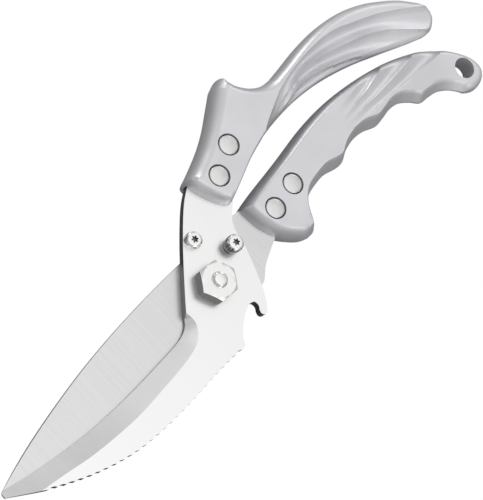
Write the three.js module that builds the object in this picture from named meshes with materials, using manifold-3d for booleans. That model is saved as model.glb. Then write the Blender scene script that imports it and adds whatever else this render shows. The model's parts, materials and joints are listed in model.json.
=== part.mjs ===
// Take-apart poultry shears with a curved upper blade, a knife-shaped lower blade and two cast handles.
// Millimetres, +Z up. The shears lie on the back of the lower handle: +Y runs from the tips to the handles.
// Every place below is first given from the pivot axis (x = y = 0) and from the plane where the two
// blades slide on each other (z = 0). The whole model is moved at the end, so that its origin is the
// centre of its own footprint, on the surface it lies on.
import * as THREE from 'three';
import { mergeVertices } from 'three/addons/utils/BufferGeometryUtils.js';
import Module from 'manifold-3d';

const wasm = await Module();
wasm.setup();

// ---------------------------------------------------------------- driving dimensions
const fitGap = 0.1; // between two pieces that touch
const slideGap = 0.1; // from the sliding plane to each blade
const upperPlate = 3.5; // thickness of the curved blade
const lowerPlate = 2.9; // thickness of the knife
const edgeLand = 0.3; // thickness left at a ground edge
const castThickness = 15; // of each handle at its rivets
const castEndThickness = 8.6; // of each handle at its far end
const castWall = 3.4; // how far a handle's sloping wall leans in from its widest line
const taperStart = 88; // where a handle starts to get thinner, along Y
const taperEnd = 142; // where it has reached its end thickness
const segmentLength = 4; // longest straight step along a smooth outline

const nutAcrossFlats = 13;
const nutHeight = 5;
const nutChamfer = 0.7;
const nutTurn = 24.5; // degrees from +X to the nut's first corner
const threadRadius = 2.95;
const shankRadius = 3.2;
const studTipRadius = 2.6;
const studTipLength = 1.7; // above the nut
const lugLength = 11.6; // the bayonet head's bar, end to end
const lugWidth = 3.6;
const lugHeight = 2.2;
const lugRoom = 0.5; // how much longer and wider the keyhole's notch is than the bar
const keyholeAngle = 93; // degrees from +X to the keyhole's long axis, shears closed
const takeApartAngle = 40; // opening at which the bar lines up with the keyhole
const bushWall = 0.85;

const springWire = 1.4;
const springWholeTurns = 2;
const springBend = 9; // degrees that the bend at each end of the wire takes up
const springOuterRadius = 9.9; // to the middle of the wire
const springPitch = 1.5; // radial step for one turn
const springOuterAngle = 168; // degrees from +X to the wire's outer end
const springLegRadius = 4.9; // where the inner end drops into the keyhole
const springRecessRadius = 10.9;
const springRecessDepth = 1.8;

const screwRadius = 1.4;
const screwHeadRadius = 3.2;
const screwHeadHeight = 2.9;
const screwHeadBevel = 0.8;
const screwBelowPlate = 1.6; // how far the stop's screw reaches past its plate
const lockScrewReach = 1.4; // how far the lock's screw reaches into its plate
const socketRadius = 1.2;
const socketDepth = 1.1;
const neckRadius = 2; // of the stop post and the lock pin, where they pass the plate
const stopRadius = 2.45;
const stopReach = 2.7; // how far the stop post stands below its plate
const spineReach = 13; // from the pivot axis to the knife's spine
const stopClearance = 0.45; // from the post to the spine, shears closed
const stopPlace = new THREE.Vector2(-(spineReach + stopClearance + stopRadius), 4.9);
const lockPlace = new THREE.Vector2(-5.3, 14.9);
const lockFlangeRadius = 3.1;
const lockFlange = 0.8;
const lockFreeTravel = 1; // until the pin's end is flush with its plate
const lockHoleRadius = 3.5;
const lockHeadLift = 2.4; // from the plate to the underside of the lock's screw head
const lockSpringWire = 0.45;
const lockSpringTurns = 2.5;

const rivetHeadRadius = 3.7;
const rivetSides = 18;
const rivetHead = 1.3; // its thickness
const rivetEngagement = 1.5; // gap between the shank's end and the other head
const edgeBreak = 0.3; // corner taken off turned pieces
const rivetShankRadius = 1.9;
const sleeveRadius = 2.8;
const rivetRoom = 0.25; // round each rivet head, in its counterbore
const slotWidth = 1;
const slotDepth = 0.5;
const slotEnd = 0.8; // from the slot's end to the rim of the head
const slotAngle = 75; // degrees from +X
const hangHoleRadius = 4.05; // at the front face
const hangHoleBackRadius = 5;
const hangHolePlace = new THREE.Vector2(8.8, 146);
const upperRivets = [[-31.9, 39.1], [-26.2, 27.7]];
const lowerRivets = [[-6, 50], [-4, 37.7]];

const toothPitch = 3.1;
const toothCutRadius = 2.6;
const toothDepth = 0.55;
const plainTip = 14; // length of smooth edge left at the tip

// ---------------------------------------------------------------- levels that follow from them
const upperBack = slideGap;
const upperFront = upperBack + upperPlate;
const upperMiddle = (upperBack + upperFront) / 2;
const lowerFront = -slideGap;
const lowerBack = lowerFront - lowerPlate;
const lowerMiddle = (lowerFront + lowerBack) / 2;
const halfCast = castThickness / 2;
const recessFloor = upperBack + springRecessDepth;
const lockCounterboreFloor = upperBack + lockFreeTravel + lockFlange + fitGap / 2;
const nutBottom = upperFront + fitGap / 2;
const nutTop = nutBottom + nutHeight;
const nutCornerRadius = nutAcrossFlats / Math.sqrt(3);
const runGap = 0.1; // radial gap where one piece turns or slides in another
const beyond = 1; // how far a cutter runs on past the face it cuts

// ---------------------------------------------------------------- small geometry helpers
const radians = (degrees) => degrees * Math.PI / 180;

/** Volume inside a closed mesh, which is negative where its faces look inward. */
function signedVolume(positions, index) {
  const corner = (i) => new THREE.Vector3().fromArray(positions, 3 * index[i]);
  let volume = 0;
  for (let i = 0; i < index.length; i += 3) volume += corner(i).dot(corner(i + 1).cross(corner(i + 2))) / 6;
  return volume;
}

/** A closed mesh as a manifold solid: only positions are kept and shared vertices are merged. */
function solidOf(geometry) {
  const bare = geometry.clone();
  bare.deleteAttribute('normal');
  bare.deleteAttribute('uv');
  const merged = mergeVertices(bare, 1e-5);
  const vertProperties = new Float32Array(merged.attributes.position.array);
  const triVerts = new Uint32Array(merged.index.array);
  if (signedVolume(vertProperties, triVerts) < 0) triVerts.reverse();
  return new wasm.Manifold(new wasm.Mesh({ numProp: 3, vertProperties, triVerts }));
}

function geometryOf(solid) {
  const mesh = solid.getMesh();
  const geometry = new THREE.BufferGeometry();
  geometry.setAttribute('position', new THREE.BufferAttribute(mesh.vertProperties, 3));
  geometry.setIndex(new THREE.BufferAttribute(mesh.triVerts, 1));
  geometry.computeVertexNormals();
  return geometry;
}

const curveThrough = (points) => new THREE.SplineCurve(points.map(([x, y]) => new THREE.Vector2(x, y)));

/** Points along a smooth curve through the given ones, about segmentLength apart. */
function smooth(points, step = segmentLength) {
  const curve = curveThrough(points);
  return curve.getSpacedPoints(Math.max(2, Math.round(curve.getLength() / step)));
}

/** One closed outline from several stretches, without the points that two stretches share. */
function outlineOf(...stretches) {
  const all = stretches.flat().map((p) => (Array.isArray(p) ? new THREE.Vector2(...p) : p));
  return all.filter((p, i) => p.distanceTo(all[(i + 1) % all.length]) > 0.05);
}

function counterClockwise(points) {
  return THREE.ShapeUtils.isClockWise(points) ? [...points].reverse() : points;
}

/** Inward normals of a counter-clockwise outline, one for each point. */
function inwardNormals(points) {
  return points.map((point, i) => {
    const before = points[(i + points.length - 1) % points.length];
    const after = points[(i + 1) % points.length];
    const along = point.clone().sub(before).normalize().add(after.clone().sub(point).normalize());
    return new THREE.Vector2(-along.y, along.x).normalize();
  });
}

/** For each point, the radius of the largest circle inside the outline that touches it there. */
function roomInside(points, normals) {
  return points.map((point, i) => {
    let room = Infinity;
    for (const other of points) {
      const reach = other.clone().sub(point);
      const depth = reach.dot(normals[i]);
      if (depth > 1e-6) room = Math.min(room, reach.lengthSq() / (2 * depth));
    }
    return room;
  });
}

/** The outline moved inward by a distance, and by less where the outline is too narrow for it. */
function insetOutline(points, distance) {
  const normals = inwardNormals(points);
  const rooms = roomInside(points, normals);
  return points.map((point, i) => {
    const step = distance > 0 ? Math.min(distance, 0.8 * rooms[i]) : distance;
    return point.clone().addScaledVector(normals[i], step);
  });
}

/** Rings of equal length joined into one closed skin, with flat ends. */
function skinOf(rings) {
  const count = rings[0].length;
  const positions = rings.flat().flatMap((p) => [p.x, p.y, p.z]);
  const index = [];
  for (let ring = 0; ring + 1 < rings.length; ring += 1) {
    for (let i = 0; i < count; i += 1) {
      const a = ring * count + i;
      const b = ring * count + (i + 1) % count;
      index.push(a, b, b + count, a, b + count, a + count);
    }
  }
  const lastStart = (rings.length - 1) * count;
  const flat = (ring) => ring.map((p) => new THREE.Vector2(p.x, p.y));
  for (const [a, b, c] of THREE.ShapeUtils.triangulateShape(flat(rings[0]), [])) index.push(c, b, a);
  for (const [a, b, c] of THREE.ShapeUtils.triangulateShape(flat(rings.at(-1)), [])) {
    index.push(lastStart + a, lastStart + b, lastStart + c);
  }
  const geometry = new THREE.BufferGeometry();
  geometry.setAttribute('position', new THREE.Float32BufferAttribute(positions, 3));
  geometry.setIndex(index);
  return geometry;
}

/** A flat plate with straight walls. */
function slab(outline, low, high) {
  const ring = (z) => counterClockwise(outline).map((p) => new THREE.Vector3(p.x, p.y, z));
  return solidOf(skinOf([ring(low), ring(high)]));
}

/** A round solid on the Z axis through (x, y), turned from [radius, height] pairs. */
function turned(profile, x = 0, y = 0, sides = 24) {
  const points = profile.map(([radius, height]) => new THREE.Vector2(radius, height));
  const geometry = new THREE.LatheGeometry(points, sides);
  geometry.rotateX(Math.PI / 2);
  geometry.translate(x, y, 0);
  return solidOf(geometry);
}

function disc(radius, low, high, x = 0, y = 0, sides = 24) {
  return turned([[0, low], [radius, low], [radius, high], [0, high]], x, y, sides);
}

/** A bar of a given length and width, centred on the Z axis and turned about it. */
function bar(length, width, low, high, angle, x = 0, y = 0) {
  const geometry = new THREE.BoxGeometry(length, width, high - low);
  geometry.rotateZ(radians(angle));
  geometry.translate(x, y, (low + high) / 2);
  return solidOf(geometry);
}

/** A round wire along a smooth path. */
function wire(points, radius, steps, sides = 8) {
  const section = new THREE.Shape();
  for (let i = 0; i < sides; i += 1) {
    const angle = (i + 0.5) * 2 * Math.PI / sides;
    const x = radius * Math.cos(angle);
    const y = radius * Math.sin(angle);
    if (i === 0) section.moveTo(x, y);
    else section.lineTo(x, y);
  }
  section.closePath();
  const path = new THREE.CatmullRomCurve3(points, false, 'centripetal');
  return solidOf(new THREE.ExtrudeGeometry(section, { steps, extrudePath: path, curveSegments: 1 }));
}

// ---------------------------------------------------------------- outlines of the blades
const upperCuttingEdge = [
  [1, -16], [3.4, -18], [5, -21], [5.8, -25], [6.2, -32], [6.6, -44], [6.6, -56],
  [5.9, -69], [4.4, -81.7], [2.3, -94], [0, -103.6],
];
const upperOuterEdge = [
  [2, -105.3], [10.1, -92.9], [14.9, -83.6], [17.9, -76.3], [20.4, -68.5], [22.2, -60],
  [23.1, -50], [23.3, -38], [22.8, -20.3], [23, -8.4],
];
const upperTang = [
  [-16, 27.7], [-21.2, 33], [-29.8, 49.8], [-32.4, 50.8], [-38.4, 47.8], [-39.1, 45.2], [-31.6, 27.6],
];

function upperBladeOutline() {
  const neck = smooth([[-31.1, 18.6], [-26.7, 11.9], [-16.7, 0.9], [-3.8, -11.6], [1, -16]], 6);
  const rim = smooth([[22.8, -7.2], [19.6, -5.2], [16.2, -1], [14.5, 2.3], [13.6, 5]], 2);
  const openerThroat = smooth([[13.6, 5], [14.3, 6.9], [16.2, 7.2], [17.6, 6.3], [18.7, 5.9]], 1);
  const shoulder = smooth([[19.8, 8.5], [15.6, 11.6], [11.4, 13.9], [4.6, 16.8], [-1.1, 19]], 4);
  const collar = smooth([[-1.1, 19], [-8.4, 20.8], [-12.4, 23.3], [-16, 27.7]], 3);
  return outlineOf(
    upperTang, neck, smooth(upperCuttingEdge), [[0.3, -105]], smooth(upperOuterEdge),
    rim, openerThroat, [[19.8, 6.4], [20.2, 7.5]], shoulder, collar,
  );
}

const lowerCuttingEdge = [
  [19.7, -8.3], [20.9, -18.7], [21.8, -36], [21.2, -53], [18.5, -67.2], [14.2, -78.8], [9.3, -88.4],
  [4.3, -97.8], [0, -104.4],
];
const lowerTang = [
  [-12.4, 27], [-11.4, 34], [-12, 56], [-9.6, 58.5], [-3.2, 58.5], [-1, 56], [1.4, 38], [4.2, 32],
];

function lowerBladeOutline() {
  const spine = smooth([
    [0, -104.4], [-3.1, -93], [-5.8, -81], [-8, -69.2], [-9.8, -57.6], [-11.1, -46.4], [-12, -35.4],
    [-12.7, -22], [-spineReach, -8], [-spineReach, 8], [-12.4, 27],
  ], 4);
  const ricasso = smooth([
    [4.2, 32], [5.9, 27.7], [8.6, 22], [12.2, 16.9], [12.2, 11], [12.4, 5.5], [15.5, -3.7],
  ], 3);
  const heel = [[15.5, -3.7], [18.4, -5.9], [19.7, -8.3]];
  return outlineOf(spine, lowerTang, ricasso, heel, smooth(lowerCuttingEdge, 4));
}

/** The wedge that grinding takes off, between a line on a plate's face and its cutting edge. */
function groundWedge(faceLine, edgeLine, faceLevel, edgeLevel, steps) {
  const inner = curveThrough(faceLine).getSpacedPoints(steps);
  const outer = curveThrough(edgeLine).getSpacedPoints(steps);
  const overrun = 0.4; // the share by which the wedge runs on past the edge
  const clear = Math.sign(faceLevel - edgeLevel);
  const rings = inner.map((a, i) => {
    const b = outer[i].clone().add(outer[i].clone().sub(a).multiplyScalar(overrun));
    const slopeEnd = edgeLevel + (edgeLevel - faceLevel) * overrun;
    return [
      new THREE.Vector3(a.x, a.y, faceLevel), new THREE.Vector3(b.x, b.y, slopeEnd),
      new THREE.Vector3(b.x, b.y, faceLevel + clear), new THREE.Vector3(a.x, a.y, faceLevel + clear),
    ];
  });
  return solidOf(quadSkin(rings));
}

/** Four-cornered rings joined into one closed skin. */
function quadSkin(rings) {
  const positions = rings.flat().flatMap((p) => [p.x, p.y, p.z]);
  const index = [];
  for (let ring = 0; ring + 1 < rings.length; ring += 1) {
    for (let i = 0; i < 4; i += 1) {
      const a = ring * 4 + i;
      const b = ring * 4 + (i + 1) % 4;
      index.push(a, b + 4, b, a, a + 4, b + 4);
    }
  }
  const last = (rings.length - 1) * 4;
  index.push(0, 1, 2, 0, 2, 3, last, last + 2, last + 1, last, last + 3, last + 2);
  const geometry = new THREE.BufferGeometry();
  geometry.setAttribute('position', new THREE.Float32BufferAttribute(positions, 3));
  geometry.setIndex(index);
  return geometry;
}

/** Round cutters that leave fine teeth along a curve, each standing toothDepth inside it. */
function toothCutters(edge, low, high) {
  const curve = curveThrough(edge);
  const count = Math.floor((curve.getLength() - plainTip) / toothPitch);
  const cutters = [];
  for (let i = 0; i < count; i += 1) {
    const share = (plainTip + (i + 0.5) * toothPitch) / curve.getLength();
    const point = curve.getPointAt(share);
    const along = curve.getTangentAt(share);
    const outward = new THREE.Vector2(along.y, -along.x);
    point.addScaledVector(outward, toothCutRadius - toothDepth);
    cutters.push(disc(toothCutRadius, low, high, point.x, point.y, 14));
  }
  return cutters;
}

// ---------------------------------------------------------------- the two blades
function upperBlade() {
  const bevelLine = [
    [-1, -14], [1.3, -15.3], [4, -15.1], [6.6, -16.1], [8.8, -18], [10.4, -20.4], [11.6, -24.5], [12.5, -31],
    [13.2, -42], [13.7, -53.5], [13.1, -65], [11.9, -76], [10, -86], [8.6, -95], [7.4, -107],
  ];
  const edgeLine = [[-3, -12.6], ...upperCuttingEdge, [-0.6, -107]];
  let blade = slab(upperBladeOutline(), upperBack, upperFront);
  blade = blade.subtract(groundWedge(bevelLine, edgeLine, upperFront, upperBack + edgeLand, 40));
  const hole = (radius, x, y) => disc(radius, upperBack - beyond, upperFront + beyond, x, y);
  const cutters = [
    ...toothCutters(upperOuterEdge, upperBack - beyond, upperFront + beyond),
    disc(springRecessRadius, upperBack - beyond, recessFloor, 0, 0, 48),
    springPocket(),
    hole(threadRadius + runGap, 0, 0),
    hole(neckRadius + runGap, stopPlace.x, stopPlace.y),
    hole(neckRadius + runGap, lockPlace.x, lockPlace.y),
    disc(lockFlangeRadius + runGap, upperBack - beyond, lockCounterboreFloor, lockPlace.x, lockPlace.y, 28),
    ...upperRivets.map(([x, y]) => hole(sleeveRadius + fitGap, x, y)),
  ];
  for (const cutter of cutters) blade = blade.subtract(cutter);
  return blade;
}

/** The pocket in the wall of the recess that holds the spring's outer end. */
function springPocket() {
  const length = 5;
  const width = springWire + 1.2; // leaves the bend of the wire's end free
  const place = polar(springRecessRadius, springOuterAngle, 0);
  return bar(length, width, upperBack - beyond, recessFloor, springOuterAngle, place.x, place.y);
}

function lowerBlade() {
  const bevelLine = [
    [15.5, -3.6], [9.2, -6.7], [4.3, -9.8], [1.3, -13.3], [-0.1, -17.8], [-0.5, -24], [-0.8, -36], [-1, -51],
    [-2, -65], [-3.3, -75.2], [-4.9, -84.6], [-6.4, -95], [-7.4, -106],
  ];
  const edgeLine = [...lowerCuttingEdge, [-1.2, -107]];
  const hole = (radius, x, y) => disc(radius, lowerBack - beyond, lowerFront + beyond, x, y, 28);
  const notchLength = lugLength + lugRoom;
  const notchWidth = lugWidth + lugRoom;
  const notch = bar(notchLength + 2, notchWidth, lowerBack - beyond, lowerFront + beyond, keyholeAngle)
    .intersect(hole(notchLength / 2, 0, 0));
  let blade = slab(lowerBladeOutline(), lowerBack, lowerFront);
  const cutters = [
    groundWedge(bevelLine, edgeLine, lowerBack, lowerFront - edgeLand, 36),
    hole(shankRadius + runGap, 0, 0),
    notch,
    hole(lockHoleRadius, lockPlace.x, lockPlace.y),
    ...lowerRivets.map(([x, y]) => hole(sleeveRadius + fitGap, x, y)),
  ];
  for (const cutter of cutters) blade = blade.subtract(cutter);
  return blade;
}

// ---------------------------------------------------------------- the two cast handles
/** The upper grip: a bowed hand rest, a saddle for the thumb, a horn and a concave neck. */
function upperHandleOutline() {
  const grip = smooth([
    [-16, 26.4], [-19.2, 35], [-22.8, 45], [-25.6, 57], [-27, 70], [-26.9, 82], [-25.4, 94], [-22.4, 107],
    [-18, 120.5], [-14, 132], [-11.2, 141], [-11.4, 147], [-14, 150.7], [-17.6, 151.6], [-22.8, 149.2],
    [-28.4, 143.4], [-33.2, 136], [-37.2, 128], [-40.4, 117.5], [-41.8, 105], [-41.4, 93], [-40, 82],
    [-39.1, 74.5], [-39.7, 69], [-42.2, 64.2], [-46, 60.7], [-49, 59.4],
  ]);
  const horn = smooth([[-49, 59.4], [-51.2, 59], [-51.9, 56.8], [-50.6, 52.6]], 1.2);
  const back = smooth([
    [-50.6, 52.6], [-46.2, 46], [-42, 39.6], [-38.2, 32.4], [-35.2, 25], [-33.2, 19.4],
  ], 4);
  const front = smooth([[-32.2, 18.1], [-28.6, 18.2], [-22, 20.8], [-17, 24.2]], 4);
  return outlineOf(grip, horn, back, front);
}

/** The lower grip: a bowed top side, a guard behind the knife, and hollows for four fingers. */
function lowerHandleOutline() {
  const topSide = smooth([
    [15.9, 140.6], [17.9, 145], [17.2, 150.4], [13.6, 153.8], [8, 153.4], [2, 149.6], [-3.8, 143.6],
    [-9.4, 134.4], [-14.3, 120.5], [-17.5, 104], [-18.9, 88], [-18.3, 73], [-15.8, 55], [-13.8, 38.4],
    [-12.3, 29.6],
  ]);
  const front = smooth([[-11.6, 28.8], [-5.7, 29.2], [0, 30.8], [5.6, 34.2], [10.8, 39.6], [12.4, 43.2]], 4);
  const guard = smooth([[12.4, 43.2], [12.2, 46.6], [9.6, 48.8], [4.6, 51.8], [1.6, 55.8], [0.5, 61]], 2);
  const hollows = smooth([
    [0.5, 61], [0.2, 66.5], [1.6, 72.5], [1.6, 76.4], [-0.6, 81.4], [-1.6, 87.4], [-1, 93], [0.9, 98.6],
    [0.6, 103.6], [0, 108.6], [0.7, 113.6], [3.4, 118], [6.6, 121.6], [7.2, 126.4], [8.2, 131.4],
    [11.2, 136.4], [15.9, 140.6],
  ], 2.4);
  return outlineOf(topSide, front, guard, hollows);
}

/** Share of the full thickness that a handle still has at a place along Y. */
function castTaper(y) {
  const share = THREE.MathUtils.smoothstep(y, taperStart, taperEnd);
  return THREE.MathUtils.lerp(1, castEndThickness / castThickness, share);
}

/** A cast handle: widest at its middle plane, with sloping walls and softly rounded flat faces. */
function castBody(outline, middle) {
  const wall = [[0, 0], [0.4, 0.2], [2.5, 0.84], [castWall, 0.98], [castWall + 0.9, 1]];
  const half = [...wall].reverse().map(([inset, height]) => [inset, -height]);
  const levels = [...half, ...wall.slice(1)];
  const points = counterClockwise(outline);
  const rings = levels.map(([inset, height]) => insetOutline(points, inset).map(
    (p) => new THREE.Vector3(p.x, p.y, middle + halfCast * height * castTaper(p.y)),
  ));
  return solidOf(skinOf(rings));
}

/** Shallow round-bottomed flutes cut along smooth lines on both faces of a handle. */
function fluteCutters(lines, middle, radius, depth) {
  const cutters = [];
  for (const side of [-1, 1]) {
    for (const line of lines) {
      const points = smooth(line, 8).map((p) => {
        const face = middle + side * halfCast * castTaper(p.y);
        return new THREE.Vector3(p.x, p.y, face + side * (radius - depth));
      });
      cutters.push(wire(points, radius, points.length, 10));
    }
  }
  return cutters;
}

/** What a pair of rivets and the blade's tang take out of a handle. */
function handleCuts(rivets, tang, middle, plate) {
  const room = insetOutline(counterClockwise(outlineOf(tang)), -fitGap);
  const cuts = [slab(room, middle - plate / 2 - fitGap, middle + plate / 2 + fitGap)];
  for (const [x, y] of rivets) {
    cuts.push(disc(sleeveRadius + fitGap, middle - halfCast - beyond, middle + halfCast + beyond, x, y));
    for (const side of [-1, 1]) {
      const seat = middle + side * (halfCast - rivetHead - fitGap / 2);
      const outside = middle + side * (halfCast + beyond);
      cuts.push(disc(rivetHeadRadius + rivetRoom, Math.min(seat, outside), Math.max(seat, outside), x, y));
    }
  }
  return cuts;
}

function upperHandle() {
  const flutes = [
    [[-27.5, 55], [-33.5, 72], [-35.6, 90], [-34, 108], [-28, 128], [-20, 143]],
    [[-26.9, 57], [-31, 74], [-32.2, 90], [-30.4, 107], [-25, 124], [-17, 140]],
    [[-26.4, 60], [-28.6, 76], [-28.8, 90], [-26.6, 105], [-22, 120], [-15.4, 136]],
  ];
  let body = castBody(upperHandleOutline(), upperMiddle);
  for (const cutter of fluteCutters(flutes, upperMiddle, 3, 0.8)) body = body.subtract(cutter);
  const mouth = [[-31.1, 12], ...[...upperTang].reverse(), [-16, 12]];
  for (const cut of handleCuts(upperRivets, mouth, upperMiddle, upperPlate)) body = body.subtract(cut);
  return body;
}

function lowerHandle() {
  const flutes = [
    [[-10, 72], [-13.4, 92], [-14.4, 110], [-14, 126]],
    [[-7.6, 78], [-9.6, 98], [-9.6, 116], [-8, 136]],
    [[-5.4, 86], [-6, 104], [-5, 120], [-1, 146]],
    [[-3, 96], [-2.6, 110], [-0.2, 126], [6, 152]],
  ];
  let body = castBody(lowerHandleOutline(), lowerMiddle);
  for (const cutter of fluteCutters(flutes, lowerMiddle, 3, 0.6)) body = body.subtract(cutter);
  const mouth = [[-12.4, 20], ...lowerTang, [4.2, 20]];
  for (const cut of handleCuts(lowerRivets, mouth, lowerMiddle, lowerPlate)) body = body.subtract(cut);
  const reach = halfCast + beyond;
  const hole = turned([
    [0, lowerMiddle - reach], [hangHoleBackRadius, lowerMiddle - reach],
    [hangHoleRadius, lowerMiddle + reach], [0, lowerMiddle + reach],
  ], hangHolePlace.x, hangHolePlace.y, 36);
  return body.subtract(hole);
}

// ---------------------------------------------------------------- rivets, each in two halves
/** The half with the plain head and the solid shank, put in from the front. */
function rivetPin(middle, x, y) {
  const top = middle + halfCast;
  const end = middle - halfCast + rivetHead + rivetEngagement;
  return turned([
    [0, end], [rivetShankRadius, end], [rivetShankRadius, top - rivetHead],
    [rivetHeadRadius, top - rivetHead],
    [rivetHeadRadius, top - 0.35], [rivetHeadRadius - 0.4, top - 0.05], [0, top],
  ], x, y, rivetSides);
}

/** The half with the tube that the shank is pressed into, put in from the back, with a slotted head. */
function rivetSleeve(middle, x, y) {
  const bottom = middle - halfCast;
  const top = middle + halfCast - rivetHead - fitGap;
  const bore = rivetShankRadius + fitGap / 2;
  const end = bottom + rivetHead + rivetEngagement - edgeBreak;
  const body = turned([
    [0, bottom], [rivetHeadRadius - 0.4, bottom + 0.05], [rivetHeadRadius, bottom + 0.35],
    [rivetHeadRadius, bottom + rivetHead], [sleeveRadius, bottom + rivetHead], [sleeveRadius, top],
    [bore, top], [bore, end], [0, end],
  ], x, y, rivetSides);
  const slotLength = 2 * (rivetHeadRadius - slotEnd);
  const slot = bar(slotLength, slotWidth, bottom - beyond, bottom + slotDepth, slotAngle, x, y);
  return body.subtract(slot);
}

// ---------------------------------------------------------------- the pivot
/** Shank, shoulder and thread in one piece, with a two-lugged bayonet head under the knife. */
function pivotStud() {
  const headTop = lowerBack - fitGap;
  const headBottom = headTop - lugHeight;
  const tip = nutTop + studTipLength;
  const reach = lugLength / 2;
  const dome = turned([
    [0, headBottom], [0.6 * reach, headBottom], [0.88 * reach, headBottom + 0.3 * lugHeight],
    [reach, headBottom + 0.7 * lugHeight], [reach, headTop], [0, headTop],
  ]);
  const lugAngle = keyholeAngle - takeApartAngle;
  const lugs = dome.intersect(bar(lugLength + 2, lugWidth, headBottom - beyond, headTop + beyond, lugAngle));
  const end = headBottom + 0.4;
  const core = turned([
    [0, end], [shankRadius - edgeBreak, end], [shankRadius, end + edgeBreak],
    [shankRadius, upperBack], [threadRadius, upperBack], [threadRadius, nutTop - 0.2],
    [studTipRadius, nutTop], [studTipRadius, tip - 1.5 * edgeBreak], [studTipRadius - 1.5 * edgeBreak, tip],
    [0, tip],
  ]);
  return core.add(lugs);
}

/** Spacer that the nut clamps the plate on, inside the coils of the return spring. */
function pivotBush() {
  const bore = threadRadius + runGap;
  const low = upperBack + fitGap / 2;
  const high = recessFloor - fitGap / 2;
  return turned([[bore, low], [bore + bushWall, low], [bore + bushWall, high], [bore, high], [bore, low]]);
}

function pivotNut() {
  const corners = [];
  for (let i = 0; i < 6; i += 1) {
    const angle = radians(nutTurn + 60 * i);
    corners.push(new THREE.Vector2(nutCornerRadius * Math.cos(angle), nutCornerRadius * Math.sin(angle)));
  }
  const around = nutCornerRadius + edgeBreak;
  const chamfered = turned([
    [0, nutBottom], [nutCornerRadius, nutBottom], [around, nutBottom + edgeBreak],
    [around, nutTop - nutChamfer], [nutAcrossFlats / 2 - 0.2, nutTop], [0, nutTop],
  ], 0, 0, 48);
  const bore = disc(threadRadius + runGap / 2, nutBottom - beyond, nutTop + beyond);
  return slab(corners, nutBottom, nutTop).intersect(chamfered).subtract(bore);
}

/** Flat spiral of round wire: its outer end sits in the plate's pocket, its inner end in the keyhole. */
function returnSpring() {
  const level = upperBack + fitGap + springWire / 2;
  const innerAngle = keyholeAngle + 180;
  const outerAngle = springOuterAngle + 360 * springWholeTurns; // it winds in clockwise, seen from the front
  const coilStart = outerAngle - springBend;
  const wound = coilStart - innerAngle;
  const points = [
    polar(springRecessRadius + 1.2, outerAngle, level),
    polar(springRecessRadius - 0.1, outerAngle - 2, level),
  ];
  const steps = 48;
  for (let i = 0; i <= steps; i += 1) {
    const turn = wound * i / steps;
    points.push(polar(springOuterRadius - springPitch * turn / 360, coilStart - turn, level));
  }
  const innerRadius = springOuterRadius - springPitch * wound / 360;
  const legAngle = innerAngle - springBend + 1;
  points.push(
    polar((innerRadius + springLegRadius) / 2 + 0.4, legAngle, level),
    polar(springLegRadius + 0.25, legAngle, level - 0.35),
    polar(springLegRadius, legAngle, level - 1.3),
    polar(springLegRadius, legAngle, lowerBack + 0.5),
  );
  return wire(points, springWire / 2, 80, 6);
}

function polar(radius, degrees, z) {
  return new THREE.Vector3(radius * Math.cos(radians(degrees)), radius * Math.sin(radians(degrees)), z);
}

// ---------------------------------------------------------------- the stop and the lock
/** Low button-head screw with a six-lobed socket; its shank runs down from the head. */
function lobedScrew(headLevel, shankLength, x, y) {
  const top = headLevel + screwHeadHeight;
  const end = headLevel - shankLength;
  const face = screwHeadRadius - screwHeadBevel;
  const body = turned([
    [0, end], [screwRadius - edgeBreak, end], [screwRadius, end + edgeBreak], [screwRadius, headLevel],
    [screwHeadRadius, headLevel], [screwHeadRadius, top - screwHeadBevel], [face, top], [0, top],
  ], x, y);
  const lobes = [];
  for (let i = 0; i < 24; i += 1) {
    const angle = 2 * Math.PI * i / 24;
    const radius = socketRadius * (1 + 0.22 * Math.cos(6 * angle)) / 1.1;
    lobes.push(new THREE.Vector2(x + radius * Math.cos(angle), y + radius * Math.sin(angle)));
  }
  return body.subtract(slab(lobes, top - socketDepth, top + beyond));
}

/** Threaded post behind the curved blade that the knife's spine meets when the shears are fully open. */
function stopPost() {
  const bore = screwRadius + fitGap;
  const bottom = upperBack - stopReach;
  const collar = upperBack - fitGap / 2;
  const top = upperFront - fitGap;
  return turned([
    [bore, bottom], [stopRadius - edgeBreak, bottom], [stopRadius, bottom + edgeBreak], [stopRadius, collar],
    [neckRadius, collar], [neckRadius, top], [bore, top], [bore, bottom],
  ], stopPlace.x, stopPlace.y);
}

function stopScrew() {
  return lobedScrew(upperFront + fitGap / 2, upperPlate + screwBelowPlate, stopPlace.x, stopPlace.y);
}

/** Flanged sleeve that slides in the curved blade; pressed down, it enters the knife's round hole. */
function lockPin() {
  const bore = screwRadius + fitGap;
  const bottom = upperBack + lockFreeTravel;
  const top = upperFront + lockHeadLift - fitGap / 2;
  return turned([
    [bore, bottom], [lockFlangeRadius - 0.2, bottom], [lockFlangeRadius, bottom + 0.2],
    [lockFlangeRadius, bottom + lockFlange], [neckRadius, bottom + lockFlange], [neckRadius, top],
    [bore, top], [bore, bottom],
  ], lockPlace.x, lockPlace.y);
}

function lockScrew() {
  return lobedScrew(upperFront + lockHeadLift, lockHeadLift + lockScrewReach, lockPlace.x, lockPlace.y);
}

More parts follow.
